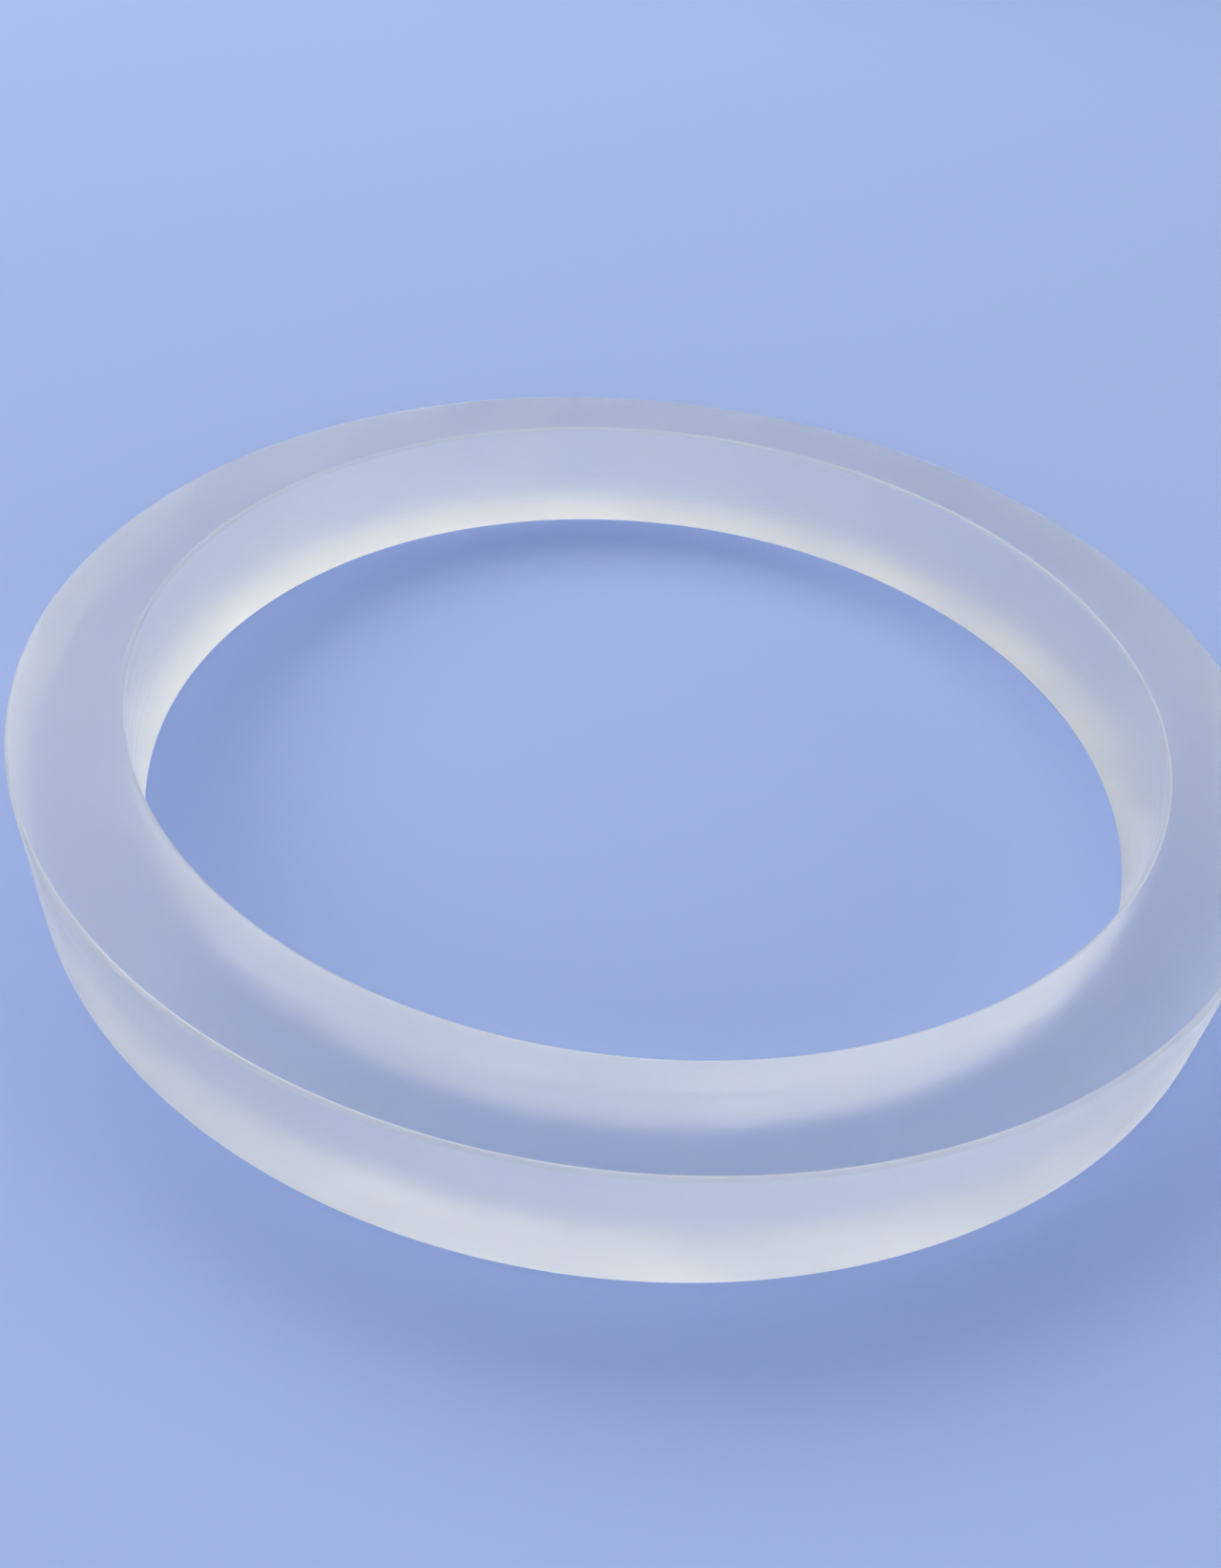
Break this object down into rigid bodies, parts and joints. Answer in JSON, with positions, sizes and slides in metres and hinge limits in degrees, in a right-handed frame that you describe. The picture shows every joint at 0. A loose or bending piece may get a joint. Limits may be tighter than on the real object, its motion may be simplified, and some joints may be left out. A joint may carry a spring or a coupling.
{
  "type": "quartz ring",
  "caption": "Plain one-piece ring of frosted fused quartz, ground on every face and chamfered on its edges, that rests flat and centres parts in cleanroom equipment.",
  "frame": {"origin": "centre of the underside, on the bore's axis", "axes": "+Z along the bore's axis, up from the underside; the ring is the same all round, so X and Y are any two square directions across it"},
  "size_m": [0.36, 0.36, 0.04],
  "materials": {
    "frosted_quartz": "fused quartz, ground all over to an even silky frost, translucent, cool white"
  },
  "bodies": {
    "root": {"quartz_ring": "frosted_quartz"}
  },
  "joints": []
}
